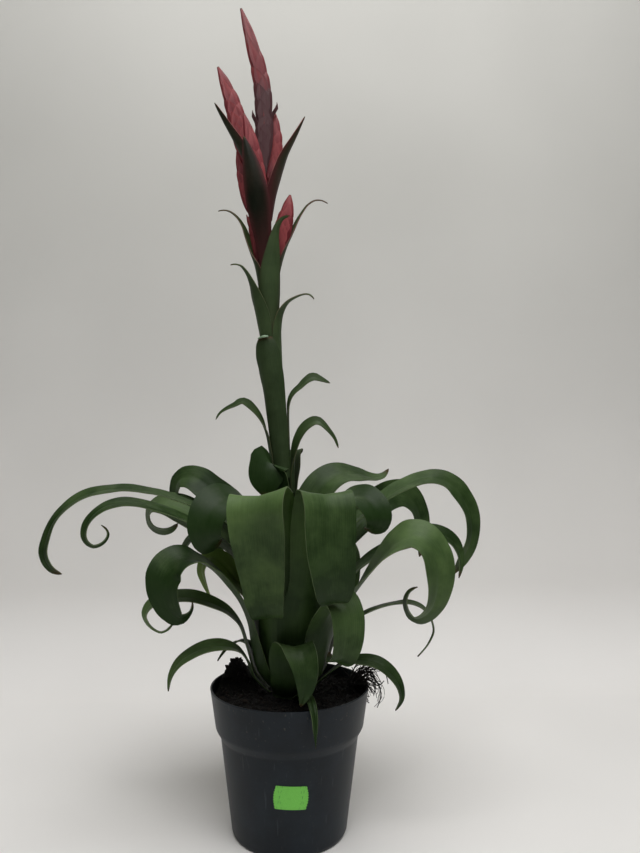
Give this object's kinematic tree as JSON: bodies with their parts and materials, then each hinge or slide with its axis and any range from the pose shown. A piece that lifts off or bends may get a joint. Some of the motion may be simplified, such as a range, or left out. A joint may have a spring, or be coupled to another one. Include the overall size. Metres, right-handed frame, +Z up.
{
  "type": "potted flaming sword bromeliad",
  "caption": "Flaming sword bromeliad with strap leaves in a funnel, a tall bract-clad stalk and flat red flower spikes, rooted in a round plastic nursery pot.",
  "frame": {"origin": "middle of the pot's underside, on the surface that the pot stands on", "axes": "+Z up along the plant, -Y towards the plant's front, +X to the viewer's right when seen from the front"},
  "size_m": [0.3689, 0.2034, 0.6846],
  "materials": {
    "pot": "moulded dark grey polypropylene with a satin skin, faint scuffs and splashes",
    "label": "fluorescent green self-adhesive label, blank, with pinked short edges",
    "soil": "damp fibrous peat and bark",
    "roots": "dark wiry roots and fibres",
    "stem": "smooth green plant stem",
    "leaf": "dark green leaf with faint lengthwise veins, pale thin margins and a soft gloss",
    "bract": "green bract shading to maroon and near black, with a dry tip",
    "sword": "dull rose-red overlapping bracts with duskier edges"
  },
  "bodies": {
    "root": {"nursery_pot": "pot", "price_label": "label", "potting_soil": "soil", "root_tuft": "roots", "stem": "stem", "leaf_inner_front": "leaf", "leaf_inner_back": "leaf", "leaf_wing_right": "leaf", "leaf_left_front": "leaf", "leaf_right_front": "leaf", "leaf_left_back": "leaf", "leaf_right_loop": "leaf", "leaf_left_long": "leaf", "leaf_back_left": "leaf", "leaf_back": "leaf", "leaf_left_spiral": "leaf", "leaf_right_back": "leaf", "leaf_left_hook": "leaf", "leaf_back_right": "leaf", "leaf_right_thin": "leaf", "leaf_left_behind": "leaf", "leaf_left_under": "leaf", "leaf_front_left": "leaf", "leaf_front_right": "leaf", "leaf_right_curl": "leaf", "leaf_back_low": "leaf", "leaf_left_curl": "leaf", "leaf_right_low_arch": "leaf", "leaf_left_low_arch": "leaf", "leaf_front_low_right": "leaf", "leaf_foot_behind": "leaf", "leaf_foot_left": "leaf", "leaf_foot_right": "leaf", "leaf_front_low": "leaf", "leaf_foot_front": "leaf", "bract_under_sword_front": "bract", "bract_under_sword_right": "bract", "bract_under_sword_left": "bract", "bract_upper_left": "bract", "bract_upper_right": "bract", "bract_upper_front": "bract", "bract_middle_left": "bract", "bract_middle_right": "bract", "bract_tall_front": "bract", "bract_lower_right": "bract", "bract_lower_left": "bract", "bract_stub_right": "bract", "bract_lowest_right": "bract", "sword_top": "sword", "sword_left": "sword", "sword_front": "sword", "sword_right": "sword", "sword_left_low": "sword", "sword_right_low": "sword", "sword_bud": "sword"}
  },
  "joints": []
}
